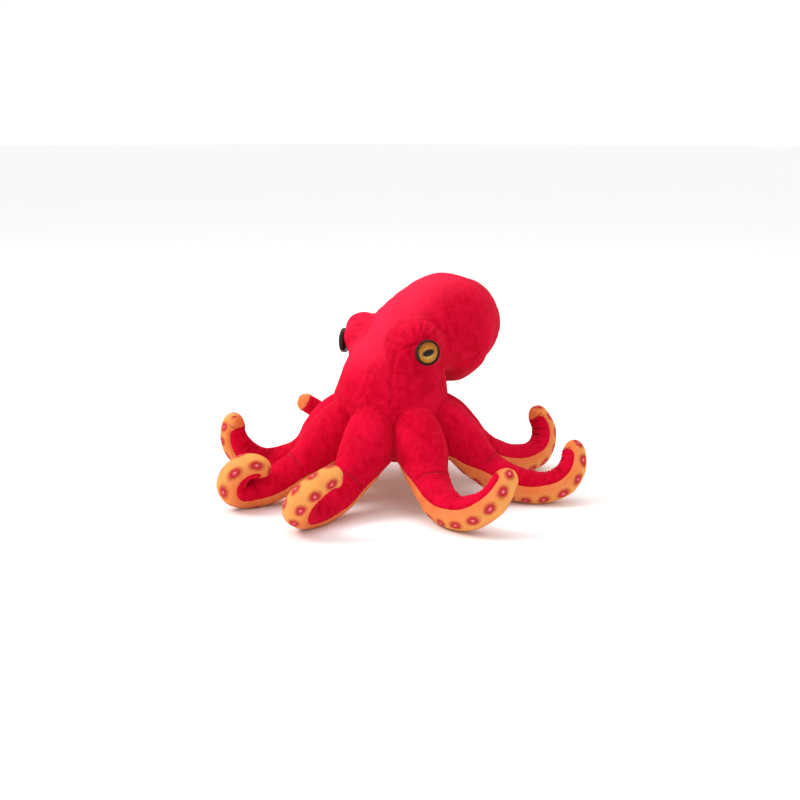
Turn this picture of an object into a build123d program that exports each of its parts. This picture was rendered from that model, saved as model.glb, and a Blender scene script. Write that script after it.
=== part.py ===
"""A stuffed toy octopus: red plush skin, printed orange undersides, fibre filling and plastic eyes.

Millimetres, +Z up. The toy faces -Y, so its left is +X. The origin is on the floor, below the
middle of the whole toy. Arms are numbered from the front, l1 to l4 on the left and r1 to r4 on
the right. Each arm is two stuffed tubes that flex at its root and at its cross seam.
"""

from build123d import *
import math
import os

# ---- driving dimensions ------------------------------------------------------------------
SKIN = 1.6             # plush and its backing
GAP = 0.45             # room between a skin and what it covers, and between panels at a seam

ROOT_RADIUS = 48.0     # arm roots from the body's axis
ROOT_HEIGHT = 56.0     # middle of an arm root above the floor
ROOT_PITCH = -12.0     # an arm leaves the body slightly downhill
TOUCH = 0.5            # how much the floor flattens an arm
CROSS_SEAM = 46.0      # cross seam along an arm, from its root
ROOT_CLEAR = 4.5       # an upper tube starts this far from the root's hinge
SEAM_CLEAR = 4.2       # each tube ends this far from the cross seam's hinge
STEP = 2.0             # an arm's line is worked out in steps of about this length
SECTION_SPACING = 6.0  # between an arm's sections

# Half width and half height of an arm at each distance along it.
ARM_GIRTH = [(0, 18.4, 19.5), (22, 17.6, 17.6), (CROSS_SEAM, 15.5, 15.2), (80, 14.2, 14.0),
             (115, 12.8, 12.8), (150, 9.4, 9.4)]
TIP_ROUND = 9.5        # length of an arm's rounded end
TIP_STEPS = (0.5, 0.2, 0.05)   # sections in it, as shares of its length left to go

# Each arm: its direction round the body, then arcs of (length, pitch, yaw, roll) in degrees,
# in the arm's own frame. The first arc is the shoulder, and its pitch is found so that the
# arm just rests on the floor. The last arc is the curled end.
ARMS = {
    "l1": (-69.0, [(26, None, -8, -4), (60, 50, -22, -16), (14, 15, 0, -8), (68, 174, 4, 0)]),
    "l2": (-22.5, [(26, None, -6, -4), (52, 50, 2, -16), (14, 15, 6, -8), (62, 110, 20, 0)]),
    "l3": (22.5, [(26, None, -2, -4), (66, 50, 6, -16), (14, 15, 0, -8), (50, 114, 0, 0)]),
    "l4": (67.5, [(26, None, -2, -4), (66, 50, 0, -16), (16, 15, 0, -8), (54, 132, -14, 0)]),
    "r4": (112.5, [(26, None, 2, -4), (62, 50, 4, -16), (14, 15, 0, -8), (60, 125, 0, 0)]),
    "r3": (157.5, [(26, None, 2, -4), (62, 50, -36, -22), (14, 15, 0, -8), (70, 98, 18, 0)]),
    "r2": (-157.5, [(26, None, -2, -4), (48, 50, 4, -16), (10, 15, 0, -8), (68, 126, -2, 0)]),
    "r1": (-112.5, [(26, None, -2, -4), (68, 50, -4, -16), (10, 30, 0, -8), (54, 225, 0, 0)]),
}

# The head's rings, from the belly to the back of the mantle: middle (y, z), how far the ring
# leans back from flat, half width and half depth.
BODY_RINGS = [
    (0, 34.5, 0, 39, 39), (0, 48, 0, 42.5, 42.5), (-0.5, 64, 0, 46.5, 46.5), (-1.5, 78, 0, 48.5, 49),
    (1, 98, 8, 44, 44), (9, 115, 27, 41, 38.5),
]
# The mantle's rings also say how far round from its underside the gusset reaches, in degrees.
MANTLE_RINGS = [
    (48, 134, 72, 46, 45, 68), (74, 136, 84, 48, 48, 75), (94, 137, 90, 41, 41, 79),
    (110, 137, 91, 30.6, 30.6, 81), (120, 137, 91, 17.5, 17.5, 82), (126.3, 137, 91, 3, 3, 82),
]
NECK = (26, 127.5, 52, 41.5, 38)   # the ring where the mantle flexes on the body
NECK_GUSSET = 56
NECK_CLEAR = 3.2
FRONT, BACK = 270.0, 90.0          # angles round a ring
FACE_HALF_ANGLE = 42.5             # the face panel's side seams, from straight ahead

MOUND = (30, 0, 131)               # middle of the left eye's padded mound
MOUND_RADIUS = 20.0
EYE = (46, -8, 126.5)              # middle of the left eye's seat on the mound
EYE_TURN = 66.0                    # the eye looks this far round from straight ahead
EYES = ("left", "right")
CUP_RADIUS, CUP_DEPTH, CUP_WALL = 10.6, 3.6, 1.1
LENS_RADIUS, LENS_HEIGHT = 9.3, 4.6
IRIS_THICK = 0.4
POST_RADIUS, POST_LENGTH = 2.2, 9.0
WASHER_RADIUS, WASHER_THICK = 7.5, 1.4
SOCKET_DEPTH = 8.0     # the plush round an eye is drawn in this far
SNUG = 0.1             # plush between cup and washer, on each side
OUTWARD = 30.0         # long enough to cut from a seat out into the open
UPWARD = (Align.CENTER, Align.CENTER, Align.MIN)
DOWNWARD = (Align.CENTER, Align.CENTER, Align.MAX)


# ---- small vector helpers ----------------------------------------------------------------
def turned(vector, axis, degrees):
    """vector turned about axis through the origin."""
    return vector.rotate(Axis((0, 0, 0), tuple(axis)), degrees)


def between(table, at):
    """The row of table at that distance, in proportion between its neighbours."""
    for low, high in zip(table, table[1:]):
        if at <= high[0]:
            share = max(0.0, (at - low[0]) / (high[0] - low[0]))
            return [a + (b - a) * share for a, b in zip(low[1:], high[1:])]
    return list(table[-1][1:])


# ---- an arm's line and sections ----------------------------------------------------------
def arm_length(name):
    return sum(arc[0] for arc in ARMS[name][1])


def girth(name, at):
    """Half width and half height of an arm's outside, rounded off at its tip."""
    wide, high = between(ARM_GIRTH, at)
    into = (at - (arm_length(name) - TIP_ROUND)) / TIP_ROUND
    if into > 0:
        shrink = math.sqrt(max(0.0, 1 - into * into))
        wide, high = wide * shrink, high * shrink
    return wide, high


def trace(name, shoulder_pitch):
    """An arm's middle line: a list of (distance, point, along, side, up)."""
    azimuth, arcs = ARMS[name]
    out = Vector(math.cos(math.radians(azimuth)), math.sin(math.radians(azimuth)), 0)
    side = Vector(0, 0, 1).cross(out)
    along = turned(out, side, -ROOT_PITCH)
    up = along.cross(side)
    point = out * ROOT_RADIUS + Vector(0, 0, ROOT_HEIGHT)
    line, travelled = [(0.0, point, along, side, up)], 0.0
    for length, pitch, yaw, roll in arcs:
        pitch = shoulder_pitch if pitch is None else pitch
        steps = round(length / STEP)
        for _ in range(steps):
            for half in (0, 1):
                spin = along * math.radians(roll / steps / 2) + up * math.radians(yaw / steps / 2)
                spin = spin - side * math.radians(pitch / steps / 2)
                if spin.length > 1e-9:
                    angle = math.degrees(spin.length)
                    axis = spin.normalized()
                    along, side, up = (turned(v, axis, angle) for v in (along, side, up))
                if half == 0:
                    point = point + along * (length / steps)
            travelled += length / steps
            line.append((travelled, point, along, side, up))
    return line


def floor_gap(name, line):
    return min(point.Z - girth(name, at)[1] for at, point, *_ in line)


def rested_line(name):
    """The arm's line with the shoulder bent so that its underside just presses the floor."""
    low, high = -80.0, -5.0
    for _ in range(24):
        middle = (low + high) / 2
        if floor_gap(name, trace(name, middle)) < -TOUCH:
            low = middle
        else:
            high = middle
    return trace(name, (low + high) / 2)


def station(line, at):
    """Point, along, side and up at a distance along an arm's line."""
    for low, high in zip(line, line[1:]):
        if at <= high[0]:
            share = (at - low[0]) / (high[0] - low[0])
            point, along, side, up = (a + (b - a) * share for a, b in zip(low[1:], high[1:]))
            return point, along.normalized(), side.normalized(), up.normalized()
    return line[-1][1:]


def arc_edge(place, wide, high, start, end):
    """Part of an ellipse across an arm: 0 is the arm's left seam, 90 its back, 270 its underside."""
    point, _, side, up = place
    angles = [math.radians(start + (end - start) * i / 8) for i in range(9)]
    return Edge.make_spline([point + side * (wide * math.cos(a)) + up * (high * math.sin(a)) for a in angles])


def panel_section(place, wide, high, start, end):
    """A strip of skin across an arm, from one seam to the other."""
    keep = 1 - min(SKIN / high, 0.6)
    half_seam = math.degrees(GAP / 2 / wide)
    start, end = start + half_seam, end - half_seam
    outer = arc_edge(place, wide, high, start, end)
    inner = arc_edge(place, wide * keep, high * keep, end, start)
    return Wire([outer, Edge.make_line(outer @ 1, inner @ 0), inner, Edge.make_line(inner @ 1, outer @ 0)])


def filling_section(place, wide, high):
    wide, high = wide - SKIN - GAP, high - SKIN - GAP
    return Wire([arc_edge(place, wide, high, 0, 180), arc_edge(place, wide, high, 180, 360)])


def stations(name, start, end):
    """Evenly spaced distances along an arm, closer together where its tip is rounded."""
    rounded = end > arm_length(name) - TIP_ROUND
    straight = arm_length(name) - TIP_ROUND if rounded else end
    count = round((straight - start) / SECTION_SPACING)
    places = [start + (straight - start) * i / count for i in range(count + 1)]
    return places + [end - TIP_ROUND * left for left in TIP_STEPS if rounded]


def above_floor(solid):
    size = 500
    return solid & Pos(0, 0, size / 2) * Box(size, size, size)


def arm_pieces(name, line, start, end):
    """The back panel, the underside panel and the filling of one tube of an arm."""
    places = [(at, station(line, at)) for at in stations(name, start, end)]
    back = Solid.make_loft([panel_section(p, *girth(name, at), 0, 180) for at, p in places])
    under = Solid.make_loft([panel_section(p, *girth(name, at), 180, 360) for at, p in places])
    thick = [(at, p) for at, p in places if min(girth(name, at)) > SKIN + GAP + 3]
    filling = Solid.make_loft([filling_section(p, *girth(name, at)) for at, p in thick])
    return back, above_floor(under), filling


# ---- head and mantle ---------------------------------------------------------------------
def inset(rings, depth):
    """The rings moved inward by depth, square to the surface that they make."""
    moved = []
    for i, (y, z, lean, wide, deep) in enumerate(rings):
        before, after = rings[max(i - 1, 0)], rings[min(i + 1, len(rings) - 1)]
        run = math.hypot(after[0] - before[0], after[1] - before[1])
        rise = (after[3] + after[4] - before[3] - before[4]) / 2
        slope = math.atan2(rise, run) if 0 < i < len(rings) - 1 else 0.0
        back, less = depth * math.sin(slope), depth * math.cos(slope)
        turn = math.radians(lean)
        moved.append((y + back * math.sin(turn), z + back * math.cos(turn), lean, wide - less, deep - less))
    return moved


def refined(rings):
    """The rings with one more between each two, on a smooth curve through them."""
    closer = []
    for i in range(len(rings) - 1):
        near, far = rings[i], rings[i + 1]
        before, after = rings[max(i - 1, 0)], rings[min(i + 2, len(rings) - 1)]
        closer += [near, tuple((9 * (b + c) - a - d) / 16 for a, b, c, d in zip(before, near, far, after))]
    return closer + [rings[-1]]


def ring_arc(ring, start, end):
    """Part of a ring: 270 degrees is its front, or its top where it leans back."""
    y, z, lean, wide, deep = ring
    turn = math.radians(lean)
    angles = [math.radians(start + (end - start) * i / 12) for i in range(13)]
    return Edge.make_spline([
        Vector(wide * math.cos(a), y + deep * math.sin(a) * math.cos(turn), z - deep * math.sin(a) * math.sin(turn))
        for a in angles])


def ring_panel(rings, reaches):
    """A panel of skin over the rings, which reaches on each ring from one angle to another."""
    sections = []
    for outer, inner, (start, end) in zip(rings, inset(rings, SKIN), reaches):
        seam = math.degrees(GAP / 2 / outer[3])
        out = ring_arc(outer, start + seam, end - seam)
        back = ring_arc(inner, end - seam, start + seam)
        sections.append(Wire([out, Edge.make_line(out @ 1, back @ 0), back, Edge.make_line(back @ 1, out @ 0)]))
    return Solid.make_loft(sections)


def ring_form(rings):
    return Solid.make_loft([Wire([ring_arc(ring, 0, 180), ring_arc(ring, 180, 360)]) for ring in rings])


def neck_ring(offset):
    """The neck's ring, moved along the neck by offset."""
    y, z, lean, wide, deep = NECK
    turn = math.radians(lean)
    return (y + offset * math.sin(turn), z + offset * math.cos(turn), lean, wide, deep)


def body_rings():
    return refined(BODY_RINGS + [neck_ring(-NECK_CLEAR)])


def mantle_rings():
    """The mantle's rings, and how far round the gusset reaches on each."""
    rings = refined([neck_ring(NECK_CLEAR) + (NECK_GUSSET,)] + MANTLE_RINGS)
    return [ring[:5] for ring in rings], [ring[5] for ring in rings]


def body_panels():
    """The face panel and the two side panels, which meet at the front seams and at the back."""
    rings = body_rings()
    mounds = mound_room("left") + mound_room("right")
    right, left = FRONT - FACE_HALF_ANGLE, FRONT + FACE_HALF_ANGLE
    face, *sides = [ring_panel(rings, [reach] * len(rings)) - mounds
                    for reach in ((right, left), (left - 360, BACK), (BACK, right))]
    return largest(face), Compound([largest(side) for side in sides])


def mantle_panels():
    """The mantle's big panel and the gusset under it."""
    rings, halves = mantle_rings()
    gusset = ring_panel(rings, [(BACK - half, BACK + half) for half in halves])
    return ring_panel(rings, [(BACK + half, BACK + 360 - half) for half in halves]), gusset


def largest(shape):
    """The largest solid of shape, without crumbs left by a cut."""
    return max(shape.solids(), key=lambda solid: solid.volume)


# ---- eyes --------------------------------------------------------------------------------
def mirrored(name, point):
    sign = 1 if name == "left" else -1
    return (sign * point[0], point[1], point[2])


def mound_ball(name, radius):
    return Pos(*mirrored(name, MOUND)) * Sphere(radius)


def mound_room(name):
    """The space that a mound and its socket take up in the body's skin, with clearance."""
    socket = Cylinder(CUP_RADIUS + SKIN + 3 * GAP, OUTWARD, align=UPWARD)
    socket += Cylinder(CUP_RADIUS + SKIN + 3 * GAP, SOCKET_DEPTH + GAP, align=DOWNWARD)
    return mound_ball(name, MOUND_RADIUS + 2 * GAP) + eye_place(name) * socket


def below_neck(shape):
    """The part of shape on the body's side of the neck, clear of the mantle."""
    y, z, lean, *_ = neck_ring(-NECK_CLEAR)
    return shape & Pos(0, y, z) * Rot(-lean, 0, 0) * Box(4 * OUTWARD, 6 * OUTWARD, 6 * OUTWARD, align=DOWNWARD)


def eye_place(name):
    """The plane of an eye's seat, facing the way the eye looks."""
    turn = math.radians(EYE_TURN)
    look = mirrored(name, (math.sin(turn), -math.cos(turn), 0))
    return Plane(origin=mirrored(name, EYE), x_dir=(0, 0, 1), z_dir=look)


def eye_parts(name):
    """Cup with its post, iris, lens and washer of one eye."""
    seat = eye_place(name)
    along = Axis.Z
    cup = Cylinder(CUP_RADIUS, CUP_DEPTH, align=UPWARD)
    cup -= Pos(0, 0, CUP_WALL) * Cylinder(LENS_RADIUS + GAP / 2, CUP_DEPTH, align=UPWARD)
    cup = fillet(cup.edges().filter_by(GeomType.CIRCLE).sort_by(along)[-1:], 0.3)
    cup += Pos(0, 0, -POST_LENGTH) * Cylinder(POST_RADIUS, POST_LENGTH + 0.1, align=UPWARD)
    iris = Pos(0, 0, CUP_WALL) * Cylinder(LENS_RADIUS, IRIS_THICK, align=UPWARD)
    lens_foot = CUP_WALL + IRIS_THICK
    ball = (LENS_RADIUS ** 2 + LENS_HEIGHT ** 2) / (2 * LENS_HEIGHT)
    lens = Pos(0, 0, lens_foot + LENS_HEIGHT - ball) * Sphere(ball)
    lens &= Pos(0, 0, lens_foot) * Cylinder(LENS_RADIUS, 20, align=UPWARD)
    washer = Cylinder(WASHER_RADIUS, WASHER_THICK) - Cylinder(POST_RADIUS + SNUG / 2, WASHER_THICK * 2)
    washer = Pos(0, 0, washer_middle()) * washer
    return [seat * part for part in (cup, iris, lens, washer)]


def washer_middle():
    """Along the post, seen from the cup's seat: the washer clamps the plush against the cup."""
    return -2 * SNUG - SKIN - WASHER_THICK / 2


def eye_room(name):
    """The space that an eye's cup, post and washer take up, with clearance."""
    room = Cylinder(CUP_RADIUS + GAP, OUTWARD, align=UPWARD)
    room += Cylinder(CUP_RADIUS + GAP, SOCKET_DEPTH, align=DOWNWARD)
    return eye_place(name) * (room + Cylinder(POST_RADIUS + GAP, POST_LENGTH + 1, align=DOWNWARD))


def eye_mound(name):
    """The padded mound round an eye, standing on the body's skin, with a socket for the eye."""
    shell = mound_ball(name, MOUND_RADIUS) - mound_ball(name, MOUND_RADIUS - SKIN)
    shell -= ring_form([(y, z, lean, wide + GAP, deep + GAP) for y, z, lean, wide, deep in body_rings()])
    shell -= eye_room(name)
    socket = Cylinder(CUP_RADIUS + GAP + SKIN, SOCKET_DEPTH, align=DOWNWARD)
    socket -= Pos(0, 0, -SKIN) * Cylinder(CUP_RADIUS + GAP, SOCKET_DEPTH, align=DOWNWARD)
    socket -= Cylinder(POST_RADIUS + SNUG / 2, 2 * SOCKET_DEPTH)
    return largest(below_neck(shell) + eye_place(name) * Pos(0, 0, -SNUG) * socket)


# ---- the whole toy -----------------------------------------------------------------------
def build():
    """All pieces in the body's own frame, {node name: shape}."""
    made = {}
    for name in ARMS:
        line = rested_line(name)
        tubes = (("upper", ROOT_CLEAR, CROSS_SEAM - SEAM_CLEAR),
                 ("lower", CROSS_SEAM + SEAM_CLEAR, arm_length(name)))
        for tube, start, end in tubes:
            back, under, filling = arm_pieces(name, line, start, end)
            made[f"arm_{name}_{tube}_back"] = back
            made[f"arm_{name}_{tube}_underside"] = under
            made[f"arm_{name}_{tube}_filling"] = filling
    made["face_panel"], made["side_panels"] = body_panels()
    foot_y, foot_z, _, foot_wide, _ = BODY_RINGS[0]
    made["belly_panel"] = Pos(0, foot_y, foot_z - GAP) * Cylinder(foot_wide, SKIN, align=DOWNWARD)
    filling = ring_form(inset(body_rings(), SKIN + GAP))
    for name in EYES:
        filling += below_neck(mound_ball(name, MOUND_RADIUS - SKIN - GAP))
        filling -= eye_place(name) * Pos(0, 0, OUTWARD / 2 - SOCKET_DEPTH) * Cylinder(
            CUP_RADIUS + 2 * GAP + SKIN, OUTWARD + 4 * GAP)
        filling -= eye_room(name)
    made["body_filling"] = largest(filling)
    made["mantle_panel"], made["mantle_gusset"] = mantle_panels()
    made["mantle_filling"] = ring_form(inset(mantle_rings()[0], SKIN + GAP)[:-1])
    made["eye_mounds"] = Compound([eye_mound(name) for name in EYES])
    parts = [eye_parts(name) for name in EYES]
    for i, node in enumerate(("eye_cups", "eye_irises", "eye_lenses", "eye_washers")):
        made[node] = Compound([side[i].solids()[0] for side in parts])
    return made


def origin_shift(made):
    """From the body's axis to the origin, below the middle of the whole toy."""
    box = Compound(list(made.values())).bounding_box()
    return Vector(-(box.min.X + box.max.X) / 2, -(box.min.Y + box.max.Y) / 2, 0)


def main():
    os.makedirs("parts", exist_ok=True)
    made = build()
    shift = origin_shift(made)
    print("shift from the body's axis", shift)
    for name, shape in made.items():
        export_step(Pos(*shift) * shape, f"parts/{name}.step")


if __name__ == "__main__":
    main()
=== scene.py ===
"""The looks of a stuffed toy octopus: plush skins with seams and gathers, printed undersides, domed eyes.

Blender 4.5, in metres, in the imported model's frame. Shapes are worked out in millimetres, nearly
all from the model's driving dimensions. place() converts them from the body's axis, and
eye_matrix() from an eye's seat.
"""

import math

import bmesh
import bpy
import numpy as np
from mathutils import Matrix, Vector


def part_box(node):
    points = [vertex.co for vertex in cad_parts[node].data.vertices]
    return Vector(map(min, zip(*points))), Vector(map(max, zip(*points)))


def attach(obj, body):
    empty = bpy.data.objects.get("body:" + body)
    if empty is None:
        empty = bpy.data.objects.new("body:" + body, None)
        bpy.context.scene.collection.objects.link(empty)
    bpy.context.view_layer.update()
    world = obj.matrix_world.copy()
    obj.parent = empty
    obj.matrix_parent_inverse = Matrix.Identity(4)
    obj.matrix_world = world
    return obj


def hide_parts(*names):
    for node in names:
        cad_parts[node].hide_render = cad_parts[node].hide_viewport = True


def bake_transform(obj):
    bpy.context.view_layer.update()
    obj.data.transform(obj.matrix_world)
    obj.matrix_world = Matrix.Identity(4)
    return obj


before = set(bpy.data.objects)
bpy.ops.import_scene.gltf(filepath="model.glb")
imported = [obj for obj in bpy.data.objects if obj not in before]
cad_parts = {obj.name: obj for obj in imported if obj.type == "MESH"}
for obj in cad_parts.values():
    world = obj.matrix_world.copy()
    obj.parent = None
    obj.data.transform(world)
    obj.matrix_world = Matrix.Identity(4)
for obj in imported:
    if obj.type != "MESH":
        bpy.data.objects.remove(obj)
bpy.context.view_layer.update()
MM = 0.001
low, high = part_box("belly_panel")
AXIS = np.array([(low[0] + high[0]) / 2, (low[1] + high[1]) / 2, 0.0])  # the body's axis, metres

# ---- driving dimensions, mm and degrees ----
# They are as in the model, but for the run of l3 and the head's rings, which follow the sewn toy's
# outline inside the same box.
ROOT_RADIUS, ROOT_HEIGHT, ROOT_PITCH = 48.0, 56.0, -12.0  # where an arm leaves the body, and how steeply
TOUCH, CROSS_SEAM, STEP = 0.5, 46.0, 2.0  # press on the floor, distance of the seam, step of an arm's line
# Distance along an arm, half width, half height.
ARM_GIRTH = np.array([(0, 18.4, 19.5), (22, 17.6, 17.6), (46, 15.5, 15.2), (80, 14.2, 14.0),
                      (115, 12.8, 12.8), (150, 9.4, 9.4)])
TIP_ROUND = 9.5
# Each arm's azimuth and its stretches: length, pitch, yaw, roll. rested() finds the first pitch.
ARMS = {
    "l1": (-69.0, [(26, None, -8, -4), (60, 50, -22, -16), (14, 15, 0, -8), (68, 174, 4, 0)]),
    "l2": (-22.5, [(26, None, -6, -4), (52, 50, 2, -16), (14, 15, 6, -8), (62, 110, 20, 0)]),
    "l3": (22.5, [(26, None, -2, -4), (62.5, 50, 6, -16), (14, 15, 0, -8), (50, 114, 0, 0)]),
    "l4": (67.5, [(26, None, -2, -4), (66, 50, 0, -16), (16, 15, 0, -8), (54, 132, -14, 0)]),
    "r4": (112.5, [(26, None, 2, -4), (62, 50, 4, -16), (14, 15, 0, -8), (60, 125, 0, 0)]),
    "r3": (157.5, [(26, None, 2, -4), (62, 50, -36, -22), (14, 15, 0, -8), (70, 98, 18, 0)]),
    "r2": (-157.5, [(26, None, -2, -4), (48, 50, 4, -16), (10, 15, 0, -8), (68, 126, -2, 0)]),
    "r1": (-112.5, [(26, None, -2, -4), (68, 50, -4, -16), (10, 30, 0, -8), (54, 225, 0, 0)]),
}
# Middle (y, z), lean, half width, half depth, from the belly to the start of the mantle's end.
HEAD_RINGS = np.array([
    (0, 34.5, 0, 39, 39), (0, 48, 0, 42.5, 42.5), (-0.5, 64, 0, 46.5, 46.5), (-1.5, 78, 0, 48.5, 49),
    (2.6, 98, 8, 45, 45), (9.5, 115, 27, 41.5, 38.5), (26, 125, 52, 41.3, 39.6), (48, 130.3, 72, 45, 45.1),
    (74, 134.6, 86, 46.6, 46.8), (94, 135.4, 98, 38.6, 39)])
MANTLE_END = 32.5  # length of the mantle's tapering end
MOUND, MOUND_RADIUS = np.array((30.0, 0.0, 131.0)), 20.0
EYE, EYE_TURN = np.array((46.0, -8.0, 126.5)), 66.0
FACE_HALF_ANGLE = 42.5


# ---- numbers and vectors ----
WAVES = 14  # sine waves in a lumpy relief


def unit(vectors):
    """The vectors, each brought to length 1."""
    return vectors / np.maximum(np.linalg.norm(vectors, axis=-1, keepdims=True), 1e-12)


def turn(vector, axis, angle):
    """vector turned about a unit axis by an angle in radians."""
    return (vector * math.cos(angle) + np.cross(axis, vector) * math.sin(angle)
            + axis * (axis @ vector) * (1 - math.cos(angle)))


def smooth(x, start, end):
    """0 before start, 1 after end, smooth between."""
    t = np.clip((x - start) / (end - start), 0, 1)
    return t * t * (3 - 2 * t)


def bell(x, width):
    """1 where x is 0, falling off smoothly on both sides."""
    return np.exp(-(x / width) ** 2)


def lumps(points, wavelength, seed):
    """Soft irregular relief over points, mostly between -1 and 1."""
    rng = np.random.default_rng(seed)
    waves = unit(rng.normal(size=(WAVES, 3))) * (2 * math.pi / wavelength)
    waves = waves * rng.uniform(0.6, 1.4, (WAVES, 1))
    return np.sin(points @ waves.T + rng.uniform(0, 6.28, WAVES)).sum(-1) / math.sqrt(WAVES) / 1.2


def spline(x, knots, values):
    """A smooth curve through values at knots."""
    slopes = np.gradient(values, knots)
    i = np.clip(np.searchsorted(knots, x, "right") - 1, 0, len(knots) - 2)
    run = knots[i + 1] - knots[i]
    t = (x - knots[i]) / run
    h00, h10, h01, h11 = 2 * t**3 - 3 * t**2 + 1, t**3 - 2 * t**2 + t, -2 * t**3 + 3 * t**2, t**3 - t**2
    return h00 * values[i] + h10 * run * slopes[i] + h01 * values[i + 1] + h11 * run * slopes[i + 1]


# ---- meshes ----
MERGE = 1e-6  # metres within which points are one
FILL_ABOVE = 0.08  # metres up: tips above this are closed; the body's foot and the belly's edge stay open


def place(points):
    """Millimetres from the body's axis to metres in the model's frame."""
    return np.asarray(points, float) * MM + AXIS


def new_object(name, mesh, material):
    piece = bpy.data.objects.new(name, mesh)
    bpy.context.scene.collection.objects.link(piece)
    mesh.materials.append(material)
    for polygon in mesh.polygons:
        polygon.use_smooth = True
    return piece


def grid_faces(rows, cols, closed):
    """Quads of a grid of rows by cols points, joined round where it is closed."""
    faces = []
    for r in range(rows - 1):
        for c in range(cols if closed else cols - 1):
            d = (c + 1) % cols
            faces.append((r * cols + c, r * cols + d, (r + 1) * cols + d, (r + 1) * cols + c))
    return faces


def map_print(mesh, uv):
    """Lays the map "print" over a mesh, from one (u, v) in metres for each of its points."""
    layer = mesh.uv_layers.new(name="print")
    index = np.empty(len(mesh.loops), int)
    mesh.loops.foreach_get("vertex_index", index)
    layer.data.foreach_set("uv", uv.reshape(-1, 2)[index].astype(np.float32).ravel())


def grid_mesh(name, points, uv, closed=False, normals=None, flip=False):
    """A mesh over a grid of points (mm), with uv (metres) as its map and normals where given."""
    rows, cols = points.shape[:2]
    faces = grid_faces(rows, cols, closed)
    if flip:
        faces = [face[::-1] for face in faces]
    mesh = bpy.data.meshes.new(name)
    mesh.from_pydata(place(points).reshape(-1, 3).tolist(), [], faces)
    map_print(mesh, uv)
    mesh.validate()
    if normals is not None:
        mesh.normals_split_custom_set_from_vertices(normals.reshape(-1, 3).tolist())
    return mesh


def surface_normals(points, closed):
    """Normals of a grid of points, from its rows and columns."""
    down = np.gradient(points, axis=0)
    if closed:
        across = (np.roll(points, -1, axis=1) - np.roll(points, 1, axis=1)) / 2
    else:
        across = np.gradient(points, axis=1)
    return unit(np.cross(across, down))


def direct_outward(piece):
    """Closes the mesh at its tips and turns its faces outward."""
    work = bmesh.new()
    work.from_mesh(piece.data)
    bmesh.ops.remove_doubles(work, verts=work.verts, dist=MERGE)
    ends = [edge for edge in work.edges if edge.is_boundary and edge.verts[0].co.z > FILL_ABOVE]
    if ends:
        bmesh.ops.holes_fill(work, edges=ends)
    bmesh.ops.recalc_face_normals(work, faces=work.faces)
    work.to_mesh(piece.data)
    work.free()


# ---- shader helpers ----
class Shader:
    """A material's node tree, with short calls for what the materials below share."""

    def __init__(self, name, **constants):
        self.material = bpy.data.materials.new(name)
        self.material.use_nodes = True
        self.tree = self.material.node_tree
        self.bsdf = self.tree.nodes["Principled BSDF"]
        for key, value in constants.items():
            self.bsdf.inputs[key.replace("_", " ")].default_value = value

    def node(self, kind, inputs=None, **settings):
        made = self.tree.nodes.new(kind)
        for key, value in settings.items():
            setattr(made, key, value)
        for key, value in (inputs or {}).items():
            if isinstance(value, bpy.types.NodeSocket):
                self.tree.links.new(value, made.inputs[key])
            else:
                made.inputs[key].default_value = value
        return made

    def math(self, operation, *values):
        return self.node("ShaderNodeMath", dict(enumerate(values)), operation=operation).outputs[0]

    def times(self, first, second):
        return self.math("MULTIPLY", first, second)

    def length(self, x, y):
        """The length of a flat vector."""
        return self.math("SQRT", self.math("ADD", self.times(x, x), self.times(y, y)))

    def step(self, value, start, end):
        """0 before start, 1 after end, smooth between."""
        inputs = {"Value": value, "From Min": start, "From Max": end}
        return self.node("ShaderNodeMapRange", inputs, interpolation_type="SMOOTHSTEP").outputs[0]

    def noise(self, scale, detail=2.0, rough=0.5, vector=None, distortion=0.0):
        inputs = {"Scale": scale, "Detail": detail, "Roughness": rough, "Distortion": distortion,
                  "Vector": vector if vector else self.place()}
        return self.node("ShaderNodeTexNoise", inputs).outputs["Fac"]

    def place(self):
        """Where the point is, in metres."""
        return self.node("ShaderNodeTexCoord").outputs["Object"]

    def stretched(self, scale):
        return self.node("ShaderNodeMapping", {"Vector": self.place(), "Scale": scale}).outputs[0]

    def printed(self):
        """The two places of the point on the map "print", in metres."""
        uv = self.node("ShaderNodeUVMap", uv_map="print").outputs[0]
        return self.node("ShaderNodeSeparateXYZ", {0: uv}).outputs[:2]

    def mix(self, share, first, second):
        made = self.node("ShaderNodeMix", data_type="RGBA")
        for socket, value in ((made.inputs[0], share), (made.inputs[6], first), (made.inputs[7], second)):
            if isinstance(value, bpy.types.NodeSocket):
                self.tree.links.new(value, socket)
            else:
                socket.default_value = value if socket is made.inputs[0] else (*value, 1)
        return made.outputs[2]

    def colour(self, socket):
        self.tree.links.new(socket, self.bsdf.inputs["Base Color"])

    def rough(self, socket):
        self.tree.links.new(socket, self.bsdf.inputs["Roughness"])

    def bump(self, *layers):
        """Layers of (height, depth in metres), stacked."""
        last = None
        for height, depth in layers:
            inputs = {"Height": height, "Distance": depth, "Strength": 1.0}
            if last:
                inputs["Normal"] = last
            last = self.node("ShaderNodeBump", inputs).outputs[0]
        self.tree.links.new(last, self.bsdf.inputs["Normal"])


# ---- materials ----
# Colours are linear red, green and blue. Patterns are in metres.
PLUSH_DEEP, PLUSH_RED, PLUSH_STROKE = (0.55, 0.0004, 0.018), (0.70, 0.0020, 0.032), (0.82, 0.0070, 0.046)
# On the next line, the first colour is painted light: the pink of the head's tops that face the key lamp.
PLUSH_PAINTED_LIGHT, PLUSH_SPECK = (0.92, 0.024, 0.072), (0.33, 0.0004, 0.008)

SPOT_PITCH, SPOT_ROW = 0.0124, 0.0082  # along an arm between spots, and from its middle line
SPOT_WANDER = 0.0022  # how far spots stray from their rows
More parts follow.
